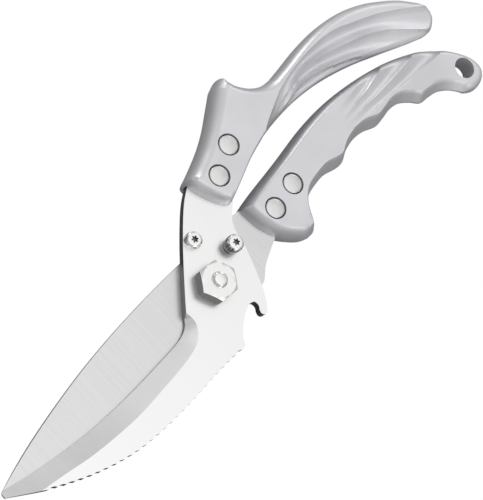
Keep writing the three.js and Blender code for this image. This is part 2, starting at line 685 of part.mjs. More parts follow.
/** Small cone spring under the lock's screw head, which closes up flat when it is pressed. */
function lockSpring() {
  const low = upperFront + fitGap + lockSpringWire / 2;
  const high = upperFront + lockHeadLift - fitGap - lockSpringWire / 2;
  const widest = screwHeadRadius - lockSpringWire / 2 - 0.1;
  const narrowest = neckRadius + lockSpringWire / 2 + 0.25;
  const points = [];
  const steps = 30;
  for (let i = 0; i <= steps; i += 1) {
    const share = i / steps;
    const radius = THREE.MathUtils.lerp(widest, narrowest, share);
    const place = polar(radius, 360 * lockSpringTurns * share, THREE.MathUtils.lerp(low, high, share));
    points.push(place.add(new THREE.Vector3(lockPlace.x, lockPlace.y, 0)));
  }
  return wire(points, lockSpringWire / 2, 44, 5);
}

// ---------------------------------------------------------------- materials and assembly
const finishes = {
  groundSteel: { color: 0xd9dadb, roughness: 0.32, metalness: 1 },
  brushedSteel: { color: 0xcfd0d2, roughness: 0.42, metalness: 1 },
  castAlloy: { color: 0xb4b6ba, roughness: 0.5, metalness: 0.9 },
  polishedSteel: { color: 0xd6d6d4, roughness: 0.25, metalness: 1 },
  springSteel: { color: 0x8f9296, roughness: 0.4, metalness: 1 },
};

const shears = new THREE.Group();

function addPiece(name, solid, finish) {
  const mesh = new THREE.Mesh(geometryOf(solid), new THREE.MeshStandardMaterial(finishes[finish]));
  mesh.name = name;
  shears.add(mesh);
}

addPiece('front_blade', upperBlade(), 'groundSteel');
addPiece('front_handle', upperHandle(), 'castAlloy');
addPiece('rear_blade', lowerBlade(), 'brushedSteel');
addPiece('rear_handle', lowerHandle(), 'castAlloy');
addPiece('pivot_stud', pivotStud(), 'polishedSteel');
addPiece('pivot_bush', pivotBush(), 'polishedSteel');
addPiece('pivot_nut', pivotNut(), 'polishedSteel');
addPiece('return_spring', returnSpring(), 'springSteel');
addPiece('stop_post', stopPost(), 'polishedSteel');
addPiece('stop_screw', stopScrew(), 'polishedSteel');
addPiece('lock_pin', lockPin(), 'polishedSteel');
addPiece('lock_screw', lockScrew(), 'polishedSteel');
addPiece('lock_spring', lockSpring(), 'springSteel');

const rivetRows = [['front', upperRivets, upperMiddle], ['rear', lowerRivets, lowerMiddle]];
for (const [half, places, middle] of rivetRows) {
  places.forEach(([x, y], i) => {
    const place = i === 0 ? 'far' : 'near';
    addPiece(`${half}_${place}_rivet_pin`, rivetPin(middle, x, y), 'polishedSteel');
    addPiece(`${half}_${place}_rivet_sleeve`, rivetSleeve(middle, x, y), 'polishedSteel');
  });
}

const box = new THREE.Box3().setFromObject(shears, true);
const centre = box.getCenter(new THREE.Vector3());
shears.position.set(-centre.x, -centre.y, -box.min.z);

export default shears;
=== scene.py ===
"""Looks of a pair of take-apart poultry shears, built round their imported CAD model.

Shapes are drawn in millimetres on the plan of the shears: the origin is the pivot axis, on the
plane where the two blades slide on each other, +Y runs towards the handles and +Z towards the nut.
"""
import json
import math

import bpy
import numpy as np
from mathutils import Matrix, Vector, geometry


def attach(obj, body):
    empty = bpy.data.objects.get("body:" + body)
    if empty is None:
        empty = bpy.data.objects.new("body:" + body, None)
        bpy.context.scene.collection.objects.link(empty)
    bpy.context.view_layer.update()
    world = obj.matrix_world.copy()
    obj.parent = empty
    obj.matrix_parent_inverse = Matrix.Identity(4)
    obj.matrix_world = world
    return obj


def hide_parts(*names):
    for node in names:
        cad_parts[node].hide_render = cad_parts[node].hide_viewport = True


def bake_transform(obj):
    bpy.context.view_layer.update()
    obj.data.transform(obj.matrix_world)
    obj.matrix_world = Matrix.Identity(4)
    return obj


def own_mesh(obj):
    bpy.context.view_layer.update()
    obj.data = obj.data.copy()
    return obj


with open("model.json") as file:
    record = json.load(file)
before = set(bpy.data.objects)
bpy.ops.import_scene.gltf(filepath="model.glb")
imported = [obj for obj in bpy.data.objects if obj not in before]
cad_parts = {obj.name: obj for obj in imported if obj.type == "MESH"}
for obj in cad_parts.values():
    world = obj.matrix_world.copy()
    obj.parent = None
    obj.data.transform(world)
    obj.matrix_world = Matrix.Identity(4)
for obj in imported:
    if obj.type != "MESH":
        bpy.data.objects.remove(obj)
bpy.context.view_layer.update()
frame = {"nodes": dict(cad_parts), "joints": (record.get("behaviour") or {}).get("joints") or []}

MM = 0.001
PIVOT = np.array(frame["joints"][0]["pos_m"])  # the plan's origin in the row frame

# ------------------------------------------------------------ sizes, in millimetres
UPPER_BACK, UPPER_FRONT = 0.1, 3.6  # faces of the curved blade
LOWER_BACK, LOWER_FRONT = -3.0, -0.1  # faces of the knife
UPPER_MIDDLE = (UPPER_BACK + UPPER_FRONT) / 2
LOWER_MIDDLE = (LOWER_BACK + LOWER_FRONT) / 2
EDGE_LAND = 0.35  # steel left at a cutting edge
HALF_CAST = 7.5  # half the thickness of each handle at its rivets
HALF_CAST_END = 4.3  # the same at its far end
TAPER = (88, 142)  # the handles thin out between these places along Y
RECESS_RADIUS, RECESS_FLOOR = 10.9, 1.9  # the return spring's pocket in the curved blade
RECESS_WALL = 0.04  # lean of the pocket's wall
UPPER_RIVETS = ((-31.9, 39.1), (-26.2, 27.7))
LOWER_RIVETS = ((-6, 50), (-4, 37.7))
TANG_HOLE = 2.9  # holes in the tangs for the rivets
RIVET_HOLE = 4.2
RIVET_HEAD = 3.7
RIVET_TUBE, RIVET_PIN, RIVET_PIN_GAP = 2.8, 1.9, 0.05
RIVET_SLOT_ANGLE, RIVET_SLOT_HALF, RIVET_SLOT_END, RIVET_SLOT_DEPTH = 75, 0.5, 0.8, 0.5
STOP = (-15.9, 4.9)
STOP_HOLE, STOP_POST = 1.95, 2.45
LOCK = (-5.3, 14.9)
LOCK_HOLE, LOCK_HOLE_IN_KNIFE, LOCK_SLEEVE, LOCK_FOOT = 2.1, 3.5, 2.0, 3.1
LOCK_LIFT = 2.4  # how far the lock's screw stands off the curved blade
SCREW_HEAD, SCREW_HEIGHT, SOCKET, SOCKET_DEPTH = 3.2, 2.9, 1.4, 1.1
SOCKET_WALL = 0.04  # lean of the socket's wall
SCREW_SHANK = 1.4
HANG_HOLE, HANG_RADIUS = (8.8, 146), 4.3
KEYHOLE_ANGLE, KEYHOLE_RADIUS, KEYHOLE_REACH, KEYHOLE_HALF = 93, 3.3, 6.1, 2.0
OPENING_ANGLE = 40  # the hinge angle at which the stud's lugs line up with the keyhole
STUD_BORE, STUD_SHANK, STUD_THREAD, STUD_TIP, STUD_RISE = 3.0, 3.2, 2.95, 2.6, 1.7
HEAD_HEIGHT, LUG_REACH, LUG_HALF = 2.2, 5.8, 1.8
NUT_TURN, NUT_FLATS, NUT_LOW, NUT_HIGH = 24.5, 13, 3.65, 8.65
NUT_CHAMFER, NUT_CHAMFER_ANGLE = 0.25, 27
COIL_WIRE, COIL_START, COIL_OUTER, COIL_INNER, COIL_PITCH = 0.7, 168, 9.9, 4.9, 1.5
LOCK_WIRE, LOCK_COIL_RADIUS, LOCK_COIL_NARROWS, LOCK_TURNS = 0.225, 2.87, 0.4, 2.5
PIECE_GAP = 0.1
UPRIGHT = 0.3  # faces whose normal rises less than this are side walls


# ------------------------------------------------------------ curves on the plan
def smooth(points, step):
    """Points about a step apart on the smooth curve through the given ones."""
    p = np.array(points, float)
    q = np.vstack([p[:1], p, p[-1:]])
    t = np.linspace(0, 1, 24, endpoint=False)[:, None]
    dense = []
    for a, b, c, d in zip(q, q[1:], q[2:], q[3:]):
        v0, v1 = (c - a) / 2, (d - b) / 2
        dense.append((2 * b - 2 * c + v0 + v1) * t**3 + (3 * c - 3 * b - 2 * v0 - v1) * t**2 + v0 * t + b)
    return resample(np.vstack([*dense, p[-1:]]), step)


def resample(points, step):
    """The same open line with its points evenly spaced."""
    run = np.concatenate([[0], np.cumsum(np.linalg.norm(np.diff(points, axis=0), axis=1))])
    at = np.linspace(0, run[-1], max(2, round(run[-1] / step)) + 1)
    return np.column_stack([np.interp(at, run, points[:, k]) for k in (0, 1)])


def joined(*stretches):
    """One closed counter-clockwise outline, and for each point the number of its stretch."""
    points = np.vstack(stretches)
    labels = np.repeat(np.arange(len(stretches)), [len(s) for s in stretches])
    keep = np.linalg.norm(points - np.roll(points, -1, axis=0), axis=1) > 0.02
    points, labels = points[keep], labels[keep]
    x, y = points.T
    if (x * np.roll(y, -1) - y * np.roll(x, -1)).sum() < 0:
        points, labels = points[::-1], labels[::-1]
    return points, labels


def ring(radius, x=0.0, y=0.0, count=48, turn=0.0):
    """Points evenly spaced round a circle."""
    angle = 2 * math.pi * np.arange(count) / count + math.radians(turn)
    return np.column_stack([x + radius * np.cos(angle), y + radius * np.sin(angle)])


def nearest(points, line, closed=True):
    """Distance from each point to a line, and the number of the line's nearest piece."""
    a = line if closed else line[:-1]
    b = np.roll(line, -1, axis=0) if closed else line[1:]
    along = b - a
    length2 = (along**2).sum(1)
    best = np.full(len(points), np.inf)
    which = np.zeros(len(points), int)
    for start in range(0, len(points), 2000):
        p = points[start:start + 2000, None, :]
        t = np.clip(((p - a) * along).sum(2) / length2, 0, 1)
        gap = np.linalg.norm(p - a - t[..., None] * along, axis=2)
        which[start:start + 2000] = gap.argmin(1)
        best[start:start + 2000] = gap.min(1)
    return best, which


def inside(points, loop):
    """Which points lie in a closed loop."""
    x, y = points[:, 0], points[:, 1]
    hit = np.zeros(len(points), bool)
    for (x0, y0), (x1, y1) in zip(loop, np.roll(loop, -1, axis=0)):
        crosses = (y0 > y) != (y1 > y)
        if crosses.any():
            hit ^= crosses & (x < (x1 - x0) * (y - y0) / (y1 - y0 + 1e-12) + x0)
    return hit


def smoothstep(value, low, high):
    """0 below low, 1 above high and an even curve between them."""
    t = np.clip((value - low) / (high - low), 0, 1)
    return t * t * (3 - 2 * t)


# ------------------------------------------------------------ meshes
def triangulated(outline, holes, lines, insets, pitch):
    """Fine triangles over the plan inside an outline, with edges along every hole and line."""
    along = np.roll(outline, -1, axis=0) - np.roll(outline, 1, axis=0)
    inward = np.column_stack([-along[:, 1], along[:, 0]]) / np.linalg.norm(along, axis=1)[:, None]
    free = []
    for inset in insets:
        moved = outline + inward * inset
        free.append(moved[nearest(moved, outline)[0] > 0.97 * inset])
    low, high = outline.min(0), outline.max(0)
    rows = np.arange(low[1], high[1], pitch * 0.866)
    for i, y in enumerate(rows):
        x = np.arange(low[0] + (i % 2) * pitch / 2, high[0], pitch)
        free.append(np.column_stack([x, np.full(len(x), y)]))
    free = np.vstack(free)
    free = free[inside(free, outline)]
    reach = nearest(free, outline)[0]
    last = insets[-1] if len(insets) else 0
    count = sum(np.isclose(reach, inset, atol=0.03 * inset) for inset in insets) if len(insets) else 0
    free = free[(reach > last + pitch / 2) | (count > 0)]
    for loop in holes:
        free = free[nearest(free, loop)[0] > pitch * 0.35]
    lines = [run for line in lines for run in runs_inside(line, outline)]
    for line in lines:
        free = free[nearest(free, line, closed=False)[0] > pitch * 0.35]
    for loop in holes:
        free = free[~inside(free, loop)]
    order = np.unique(np.round(free / (pitch * 0.3)).astype(int), axis=0, return_index=True)[1]
    free = free[np.sort(order)]
    loops = [outline, *holes, *lines]
    starts = np.cumsum([0, *[len(loop) for loop in loops]])
    edges = []
    for number, (start, loop) in enumerate(zip(starts, loops)):
        if number > 0:
            edges += [(start + i, start + i + 1) for i in range(len(loop) - 1)]
        if 0 < number <= len(holes):
            edges.append((start + len(loop) - 1, start))
    face = list(range(len(outline)))
    points = [Vector(p) for p in np.vstack([*loops, free])]
    out = geometry.delaunay_2d_cdt(points, edges, [face], 1, 1e-6)
    plan = np.array([tuple(p) for p in out[0]])
    triangles = np.array([tuple(f) for f in out[2]])
    centre = plan[triangles].mean(1)
    for loop in holes:
        keep = ~inside(centre, loop)
        triangles, centre = triangles[keep], centre[keep]
    used = np.unique(triangles)
    number = np.full(len(plan), -1)
    number[used] = np.arange(len(used))
    return plan[used], number[triangles]


def runs_inside(line, outline, margin=0.3):
    """The stretches of an open line that lie well inside an outline."""
    good = inside(line, outline) & (nearest(line, outline)[0] > margin)
    breaks = np.flatnonzero(np.diff(good.astype(int)) != 0) + 1
    runs = np.split(np.arange(len(line)), breaks)
    return [line[run] for run in runs if good[run[0]] and len(run) > 1]


def closed(loop):
    """A closed loop as an open line that ends where it starts."""
    return np.vstack([loop, loop[:1]])


def relief(outline, top, bottom, holes=(), lines=(), insets=(), pitch=1.0):
    """A solid with the given outline and holes; top and bottom give its two faces' heights."""
    plan, triangles = triangulated(outline, holes, lines, insets, pitch)
    high, low = top(plan), bottom(plan)
    a, b, c = plan[triangles].transpose(1, 0, 2)
    turn = (b - a)[:, 0] * (c - a)[:, 1] - (b - a)[:, 1] * (c - a)[:, 0]
    triangles[turn < 0] = triangles[turn < 0][:, ::-1]
    count = len(plan)
    thin = high - low < 1e-3
    under = np.where(thin, np.arange(count), np.arange(count) + count)
    faces = triangles.tolist() + under[triangles[:, ::-1]].tolist()
    sides = np.vstack([triangles[:, [0, 1]], triangles[:, [1, 2]], triangles[:, [2, 0]]])
    known = {tuple(side) for side in sides.tolist()}
    for i, j in sides.tolist():
        if (j, i) in known:
            continue
        wall = [i, under[i], under[j], j]
        faces.append([v for k, v in enumerate(wall) if v not in wall[:k]])
    points = np.vstack([np.column_stack([plan, high]), np.column_stack([plan, low])])
    return points, [f for f in faces if len(f) > 2]


def turned(profile, x=0.0, y=0.0, sides=64):
    """A round solid about a vertical axis, from (radius, height) pairs that start and end on it."""
    points = [(x, y, profile[0][1])]
    faces = []
    inner = profile[1:-1]
    for radius, height in inner:
        points += [(px, py, height) for px, py in ring(radius, x, y, sides)]
    points.append((x, y, profile[-1][1]))
    last = len(points) - 1
    for k in range(sides):
        n = (k + 1) % sides
        faces.append([0, 1 + n, 1 + k])
        for row in range(len(inner) - 1):
            a, b = 1 + row * sides, 1 + (row + 1) * sides
            faces.append([a + k, a + n, b + n, b + k])
        faces.append([last, last - sides + k, last - sides + n])
    return np.array(points), faces


def tube(path, radius, sides=12):
    """A round wire along the points of a path."""
    path = np.array(path, float)
    along = np.gradient(path, axis=0)
    along /= np.linalg.norm(along, axis=1)[:, None]
    side = np.cross(along[0], (0.3, 0.2, 0.9))
    points, faces = [], []
    for centre, ahead in zip(path, along):
        side = side - ahead * (side @ ahead)
        side /= np.linalg.norm(side)
        other = np.cross(ahead, side)
        for k in range(sides):
            angle = 2 * math.pi * k / sides
            points.append(centre + radius * (math.cos(angle) * side + math.sin(angle) * other))
    for row in range(len(path) - 1):
        for k in range(sides):
            n = (k + 1) % sides
            faces.append([row * sides + k, row * sides + n, (row + 1) * sides + n, (row + 1) * sides + k])
    faces.append(list(range(sides))[::-1])
    faces.append([(len(path) - 1) * sides + k for k in range(sides)])
    return np.array(points), faces


def new_object(name, shape, sharp=35):
    """A smooth-shaded object with this shape, placed on the plan."""
    points, faces = shape
    mesh = bpy.data.meshes.new(name)
    mesh.from_pydata((points * MM + PIVOT).tolist(), [], faces)
    mesh.validate()
    mesh.update()
    mesh.shade_smooth()
    mesh.set_sharp_from_angle(angle=math.radians(sharp))
    obj = bpy.data.objects.new(name, mesh)
    bpy.context.scene.collection.objects.link(obj)
    return obj


def piece(name, shape, material, slot, body, *nodes, sharp=35):
    """A finished piece that stands for some CAD nodes and moves with a body."""
    obj = new_object(name, shape, sharp)
    obj.data.materials.append(material)
    if nodes:
        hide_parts(*nodes)
    if body:
        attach(obj, body)
    return obj


def coat(obj, material):
    """Make one material the only one on an object."""
    obj.data.materials.clear()
    obj.data.materials.append(material)


def cut_out(obj, cutter, sharp=35):
    """Takes a cutter's volume out of an object and throws the cutter away."""
    modifier = obj.modifiers.new("cut", "BOOLEAN")
    modifier.operation = "DIFFERENCE"
    modifier.solver = "EXACT"
    modifier.object = cutter
    bpy.context.view_layer.update()
    mesh = bpy.data.meshes.new_from_object(obj.evaluated_get(bpy.context.evaluated_depsgraph_get()))
    obj.modifiers.clear()
    obj.data = mesh
    mesh.set_sharp_from_angle(angle=math.radians(sharp))
    bpy.data.objects.remove(cutter)


# ------------------------------------------------------------ materials
class Nodes:
    """A material's node tree, with short ways to add the nodes used here."""

    def __init__(self, name, color, metallic, roughness):
        self.material = bpy.data.materials.new(name)
        self.material.use_nodes = True
        self.tree = self.material.node_tree
        self.shader = self.tree.nodes["Principled BSDF"]
        self.shader.inputs["Base Color"].default_value = (*color, 1)
        self.shader.inputs["Metallic"].default_value = metallic
        self.shader.inputs["Roughness"].default_value = roughness
        self.where = self.tree.nodes.new("ShaderNodeTexCoord").outputs["Object"]

    def mapped(self, scale, turn=0.0):
        node = self.tree.nodes.new("ShaderNodeMapping")
        node.inputs["Scale"].default_value = scale
        node.inputs["Rotation"].default_value = (0, 0, math.radians(turn))
        self.tree.links.new(self.where, node.inputs["Vector"])
        return node.outputs["Vector"]

    def noise(self, vector, scale, detail=2.0, roughness=0.5):
        node = self.tree.nodes.new("ShaderNodeTexNoise")
        node.inputs["Scale"].default_value = scale
        node.inputs["Detail"].default_value = detail
        node.inputs["Roughness"].default_value = roughness
        self.tree.links.new(vector, node.inputs["Vector"])
        return node.outputs["Fac"]

    def spread(self, value, low, high, start=0.3, end=0.7):
        node = self.tree.nodes.new("ShaderNodeMapRange")
        node.inputs["From Min"].default_value = start
        node.inputs["From Max"].default_value = end
        node.inputs["To Min"].default_value = low
        node.inputs["To Max"].default_value = high
        self.tree.links.new(value, node.inputs["Value"])
        return node.outputs["Result"]

    def ramp(self, value, dark, light, start=0.3, end=0.7):
        node = self.tree.nodes.new("ShaderNodeValToRGB")
        node.color_ramp.elements[0].position = start
        node.color_ramp.elements[0].color = (*dark, 1)
        node.color_ramp.elements[1].position = end
        node.color_ramp.elements[1].color = (*light, 1)
        self.tree.links.new(value, node.inputs["Fac"])
        self.tree.links.new(node.outputs["Color"], self.shader.inputs["Base Color"])

    def bump(self, height, strength, distance):
        node = self.tree.nodes.new("ShaderNodeBump")
        node.inputs["Strength"].default_value = strength
        node.inputs["Distance"].default_value = distance
        self.tree.links.new(height, node.inputs["Height"])
        self.tree.links.new(node.outputs["Normal"], self.shader.inputs["Normal"])

    def rough(self, value):
        self.tree.links.new(value, self.shader.inputs["Roughness"])


def cast_metal():
    """Satin casting: a fine blasted grain and a faint cloudiness in colour."""
    made = Nodes("cast_alloy", (0.75, 0.75, 0.77), 0.7, 0.42)
    grain = made.noise(made.where, 2600, 3, 0.6)
    cloud = made.noise(made.where, 60, 3, 0.5)
    made.ramp(cloud, (0.71, 0.71, 0.735), (0.77, 0.77, 0.795))
    made.rough(made.spread(grain, 0.38, 0.5))
    made.bump(grain, 0.25, 0.00006)
    return made.material


def ground_steel():
    """Smooth bright steel of the curved blade, with very faint grinding marks."""
    made = Nodes("ground_steel", (0.9, 0.9, 0.895), 1.0, 0.3)
    marks = made.noise(made.mapped((60, 1200, 60), 35), 3, 3)
    made.ramp(marks, (0.895, 0.895, 0.895), (0.915, 0.915, 0.91))
    made.rough(made.spread(marks, 0.28, 0.32))
    return made.material


def brushed_steel():
    """Steel of the knife, with coarse and fine brush lines running across the blade."""
    made = Nodes("brushed_steel", (0.75, 0.75, 0.755), 1.0, 0.36)
    lines = made.noise(made.mapped((14, 900, 14), 20), 2.2, 4, 0.65)
    made.ramp(lines, (0.68, 0.68, 0.685), (0.80, 0.80, 0.805))
    made.rough(made.spread(lines, 0.3, 0.44))
    made.bump(lines, 0.12, 0.00003)
    return made.material


def polished_steel():
    """Clean turned steel, a little uneven in its shine."""
    made = Nodes("polished_steel", (0.86, 0.855, 0.84), 1.0, 0.22)
    scuffs = made.noise(made.where, 260, 2)
    made.ramp(scuffs, (0.84, 0.835, 0.82), (0.88, 0.875, 0.86))
    made.rough(made.spread(scuffs, 0.19, 0.25))
    return made.material


def rivet_steel():
    """Rivet heads ground off almost level with the handles: satin, and a little darker than the blades."""
    made = Nodes("rivet_steel", (0.74, 0.74, 0.735), 1.0, 0.34)
    scuffs = made.noise(made.where, 500, 3)
    made.ramp(scuffs, (0.71, 0.71, 0.705), (0.78, 0.78, 0.775))
    made.rough(made.spread(scuffs, 0.3, 0.4))
    return made.material


def painted_shade_steel():
    """Painted shade: very dark steel on the sides of the nut, screw sockets, lock sleeve and the curved
    blade's walls, standing in for the shade that falls on them.
    """
    made = Nodes("painted_shade_steel", (0.2, 0.2, 0.205), 1.0, 0.45)
    scale = made.noise(made.where, 700, 3)
    made.ramp(scale, (0.16, 0.16, 0.165), (0.25, 0.25, 0.255))
    made.rough(made.spread(scale, 0.4, 0.55))
    return made.material


def spring_steel():
    """Drawn wire of the two springs."""
    made = Nodes("spring_steel", (0.5, 0.51, 0.53), 1.0, 0.35)
    drawn = made.noise(made.mapped((400, 400, 2000)), 2, 2)
    made.ramp(drawn, (0.44, 0.45, 0.47), (0.56, 0.57, 0.59))
    made.rough(made.spread(drawn, 0.3, 0.42))
    return made.material


CAST = cast_metal()
GROUND = ground_steel()
BRUSHED = brushed_steel()
POLISHED = polished_steel()
RIVET = rivet_steel()
# very dark steel that paints shade on walls, sockets and the lock sleeve
PAINTED_SHADE = painted_shade_steel()
SPRING = spring_steel()


def paint_shade(obj, chosen):
    """Paint shade on the faces chosen by their centre (in plan millimetres) and normal, by giving them the
    painted-shade steel.
    """
    if len(obj.data.materials) == 1:
        obj.data.materials.append(PAINTED_SHADE)
    for face in obj.data.polygons:
        centre = (face.center - Vector(PIVOT)) / MM
        if chosen(centre, face.normal):
            face.material_index = 1


# ------------------------------------------------------------ the two blades
UPPER_CUT = (
    (1, -16), (3.4, -18), (5, -21), (5.8, -25), (6.2, -32), (6.6, -44), (6.6, -56),
    (5.9, -69), (4.4, -81.7), (2.3, -94), (0, -103.6),
)
UPPER_RIM = (
    (2, -105.3), (10.1, -92.9), (14.9, -83.6), (17.9, -76.3), (20.4, -68.5), (22.2, -60),
    (23.1, -50), (23.3, -38), (22.8, -20.3), (23, -8.4),
)
UPPER_TANG = (
    (-16, 27.7), (-21.2, 33), (-29.8, 49.8), (-32.4, 50.8), (-38.4, 47.8), (-39.1, 45.2), (-31.6, 27.6),
)
UPPER_BEVEL = (
    (1.3, -15.3), (4, -15.1), (6.6, -16.1), (8.8, -18), (10.4, -20.4), (11.6, -24.5), (12.5, -31),
    (13.2, -42), (13.7, -53.5), (13.1, -65), (11.9, -76), (10, -86), (8.6, -95), (7.4, -107),
)
TOOTH_PITCH, TOOTH_RADIUS, TOOTH_DEPTH, PLAIN_TIP = 3.1, 2.6, 0.55, 14


def toothed(line):
    """A fine line with a row of shallow round teeth cut into its left side."""
    run = np.concatenate([[0], np.cumsum(np.linalg.norm(np.diff(line, axis=0), axis=1))])
    along = np.gradient(line, axis=0)
    inward = np.column_stack([-along[:, 1], along[:, 0]]) / np.linalg.norm(along, axis=1)[:, None]
    count = int((run[-1] - PLAIN_TIP) / TOOTH_PITCH)
    phase = (run - PLAIN_TIP) % TOOTH_PITCH - TOOTH_PITCH / 2
    depth = np.clip(TOOTH_DEPTH - phase**2 / (2 * TOOTH_RADIUS), 0, None)
    cut = (run > PLAIN_TIP) & (run < PLAIN_TIP + count * TOOTH_PITCH)
    return line + inward * (depth * cut)[:, None]


def upper_outline():
    """The curved blade from its tang round the neck, edge, tip, teeth and bottle-opener hook."""
    neck = smooth([(-31.1, 18.6), (-26.7, 11.9), (-16.7, 0.9), (-3.8, -11.6), (1, -16)], 1)
    rim = smooth([(22.8, -7.2), (19.6, -5.2), (16.2, -1), (14.5, 2.3), (13.6, 5)], 0.6)
    throat = smooth([(13.6, 5), (14.3, 6.9), (16.2, 7.2), (17.6, 6.3), (18.7, 5.9)], 0.35)
    hook = smooth([(18.7, 5.9), (19.7, 6.2), (20.3, 7.2), (19.8, 8.5)], 0.3)
    shoulder = smooth([(19.8, 8.5), (15.6, 11.6), (11.4, 13.9), (4.6, 16.8), (-1.1, 19)], 1)
    collar = smooth([(-1.1, 19), (-8.4, 20.8), (-12.4, 23.3), (-16, 27.7)], 1)
    tip = smooth([(0, -103.6), (0.3, -105), (2, -105.3)], 0.3)
    teeth = toothed(smooth(UPPER_RIM, 0.2))
    cut = smooth(UPPER_CUT, 0.8)
    return joined(np.array(UPPER_TANG), neck, cut, tip, teeth, rim, throat, hook, shoulder, collar)[0]


def ground_depth(plan, face_line, edge_line, depth):
    """How far grinding has lowered a face between a line on it and the cutting edge."""
    region = np.vstack([face_line, edge_line[::-1]])
    to_face = nearest(plan, face_line, closed=False)[0]
    to_edge = nearest(plan, edge_line, closed=False)[0]
    share = np.where(inside(plan, region), to_face / (to_face + to_edge + 1e-9), 0)
    on_edge = (to_edge < 0.05) & (to_face > 0.5)
    return depth * np.where(on_edge, 1, share)


def edge_land(y):
    """Thickness that grinding leaves at the curved blade's edge: more near its heel than at its tip."""
    more_at_heel = 0.75
    return EDGE_LAND + more_at_heel * smoothstep(y, -85, -25)


def upper_blade():
    """The curved blade, ground on its near face, with painted shade on the walls round its edge."""
    outline = upper_outline()
    past_tip = (-0.6, -107)  # the edge runs on, so that the grinding thins the tip as well
    edge = smooth([*UPPER_CUT, past_tip], 0.8)
    face_line = smooth([(1.0, -15.9), *UPPER_BEVEL], 0.8)
    holes = [ring(STOP_HOLE, *STOP, 24), ring(LOCK_HOLE, *LOCK, 32), ring(STUD_BORE, count=40)]
    holes += [ring(TANG_HOLE, x, y, 24) for x, y in UPPER_RIVETS]
    pocket = [closed(ring(radius, count=120)) for radius in (RECESS_RADIUS, RECESS_RADIUS - RECESS_WALL)]
    lines = [*pocket, face_line]

    def top(plan):
        depth = UPPER_FRONT - UPPER_BACK - edge_land(plan[:, 1])
        return UPPER_FRONT - ground_depth(plan, face_line, edge, depth)

    def bottom(plan):
        hollow = np.linalg.norm(plan, axis=1) < RECESS_RADIUS - RECESS_WALL / 2
        return np.where(hollow, RECESS_FLOOR, UPPER_BACK)

    shape = relief(outline, top, bottom, holes, lines, (0.1, 0.5), 1.6)
    obj = piece("curved_blade", shape, GROUND, "ground_steel", "front_half", "front_blade", sharp=9)
    # painted shade: every side wall, the cutting edge's land among them, gets the very dark steel in place of
    # the shadow there
    paint_shade(obj, lambda centre, normal: abs(normal.z) < UPRIGHT)


LOWER_CUT = (
    (19.7, -8.3), (20.9, -18.7), (21.8, -36), (21.2, -53), (18.5, -67.2), (14.2, -78.8), (9.3, -88.4),
    (4.3, -97.8), (0, -104.4),
)
LOWER_SPINE = (
    (0, -104.4), (-3.1, -93), (-5.8, -81), (-8, -69.2), (-9.8, -57.6), (-11.1, -46.4), (-12, -35.4),
    (-12.7, -22), (-13, -8), (-13, 8), (-12.4, 27),
)
LOWER_TANG = ((-12.4, 27), (-11.4, 34), (-12, 56), (-9.6, 58.5), (-3.2, 58.5), (-1, 56), (1.4, 38), (4.2, 32))
LOWER_BEVEL = (
    (15.5, -4.2), (9.2, -6.9), (4.3, -9.9), (1.3, -13.3), (-0.1, -17.8), (-0.5, -24), (-0.8, -36), (-1, -51),
    (-2, -65), (-3.3, -75.2), (-4.7, -83.6),
)


def keyhole_loop():
    """Round hole for the stud's shank with a straight slot through it for the lugs of its head."""
    loop = []
    for angle in np.radians(np.arange(0, 360, 3)):
        along, sideways = math.cos(angle), math.sin(angle)
        slot = min(KEYHOLE_REACH, KEYHOLE_HALF / max(abs(sideways), 1e-6))
        radius = max(KEYHOLE_RADIUS, slot)
        loop.append((radius * along, radius * sideways))
    turn = math.radians(KEYHOLE_ANGLE)
    spin = np.array([[math.cos(turn), math.sin(turn)], [-math.sin(turn), math.cos(turn)]])
    return np.array(loop) @ spin


def lower_blade():
    """The knife, ground on its far face."""
    ricasso = smooth([
        (4.2, 32), (5.9, 27.7), (8.6, 22), (12.2, 16.9), (12.2, 11), (12.4, 5.5), (15.5, -3.7),
    ], 1)
    heel = np.array([(15.5, -3.7), (18.4, -5.9), (19.7, -8.3)])
    edge = smooth(LOWER_CUT, 1)
    outline = joined(smooth(LOWER_SPINE, 1), np.array(LOWER_TANG), ricasso, heel, edge)[0]
    face_line = smooth(LOWER_BEVEL, 1)
    region_line = np.vstack([face_line, smooth([(-4.9, -84.6), (-7.4, -106)], 1)])
    depth = LOWER_FRONT - LOWER_BACK - EDGE_LAND
    holes = [keyhole_loop(), ring(LOCK_HOLE_IN_KNIFE, *LOCK, 40)]
    holes += [ring(TANG_HOLE, x, y, 24) for x, y in LOWER_RIVETS]

    def top(plan):
        return np.full(len(plan), LOWER_FRONT)

    def bottom(plan):
        return LOWER_BACK + ground_depth(plan, region_line, edge, depth)

    shape = relief(outline, top, bottom, holes, [face_line], (0.1, 0.5), 1.8)
    piece("knife_blade", shape, BRUSHED, "brushed_steel", "rear_half", "rear_blade", sharp=9)


# ------------------------------------------------------------ the two cast handles
HANDLE_SHARP = 38  # a handle's edges are shaded sharp above this angle
CREASE = 0.78  # how much of its quarter ellipse a rounded wall runs through before it meets the face


def half_cast(y):
    """Half a handle's thickness at a place along Y."""
    return HALF_CAST + (HALF_CAST_END - HALF_CAST) * smoothstep(y, *TAPER)


def rounded_wall(t):
    """Share of the full height at a share of the way in: a quarter ellipse that ends at the face."""
    return np.sqrt(1 - (1 - CREASE * t) ** 2) / math.sqrt(1 - (1 - CREASE) ** 2)


def sloping_wall(t):
    """The same for a straight wall that leans in and meets the face at a soft edge."""
    straight = 0.06 + 1.1 * t
    blend = np.clip(0.5 + (1 - straight) / 0.16, 0, 1)
    return np.clip(straight * blend + (1 - blend), 0, 1) - 0.04 * blend * (1 - blend)


def cast_height(plan, outline, widths, sloping, carve):
    """Height of a handle's face above its middle plane."""
    gap, which = nearest(plan, outline)
    t = np.clip(gap / widths[which], 0, 1)
    share = rounded_wall(t) * (1 - sloping[which]) + sloping_wall(t) * sloping[which]
    share = np.where(gap < 1e-3, 0, share)
    return share * (half_cast(plan[:, 1]) - carve(plan))


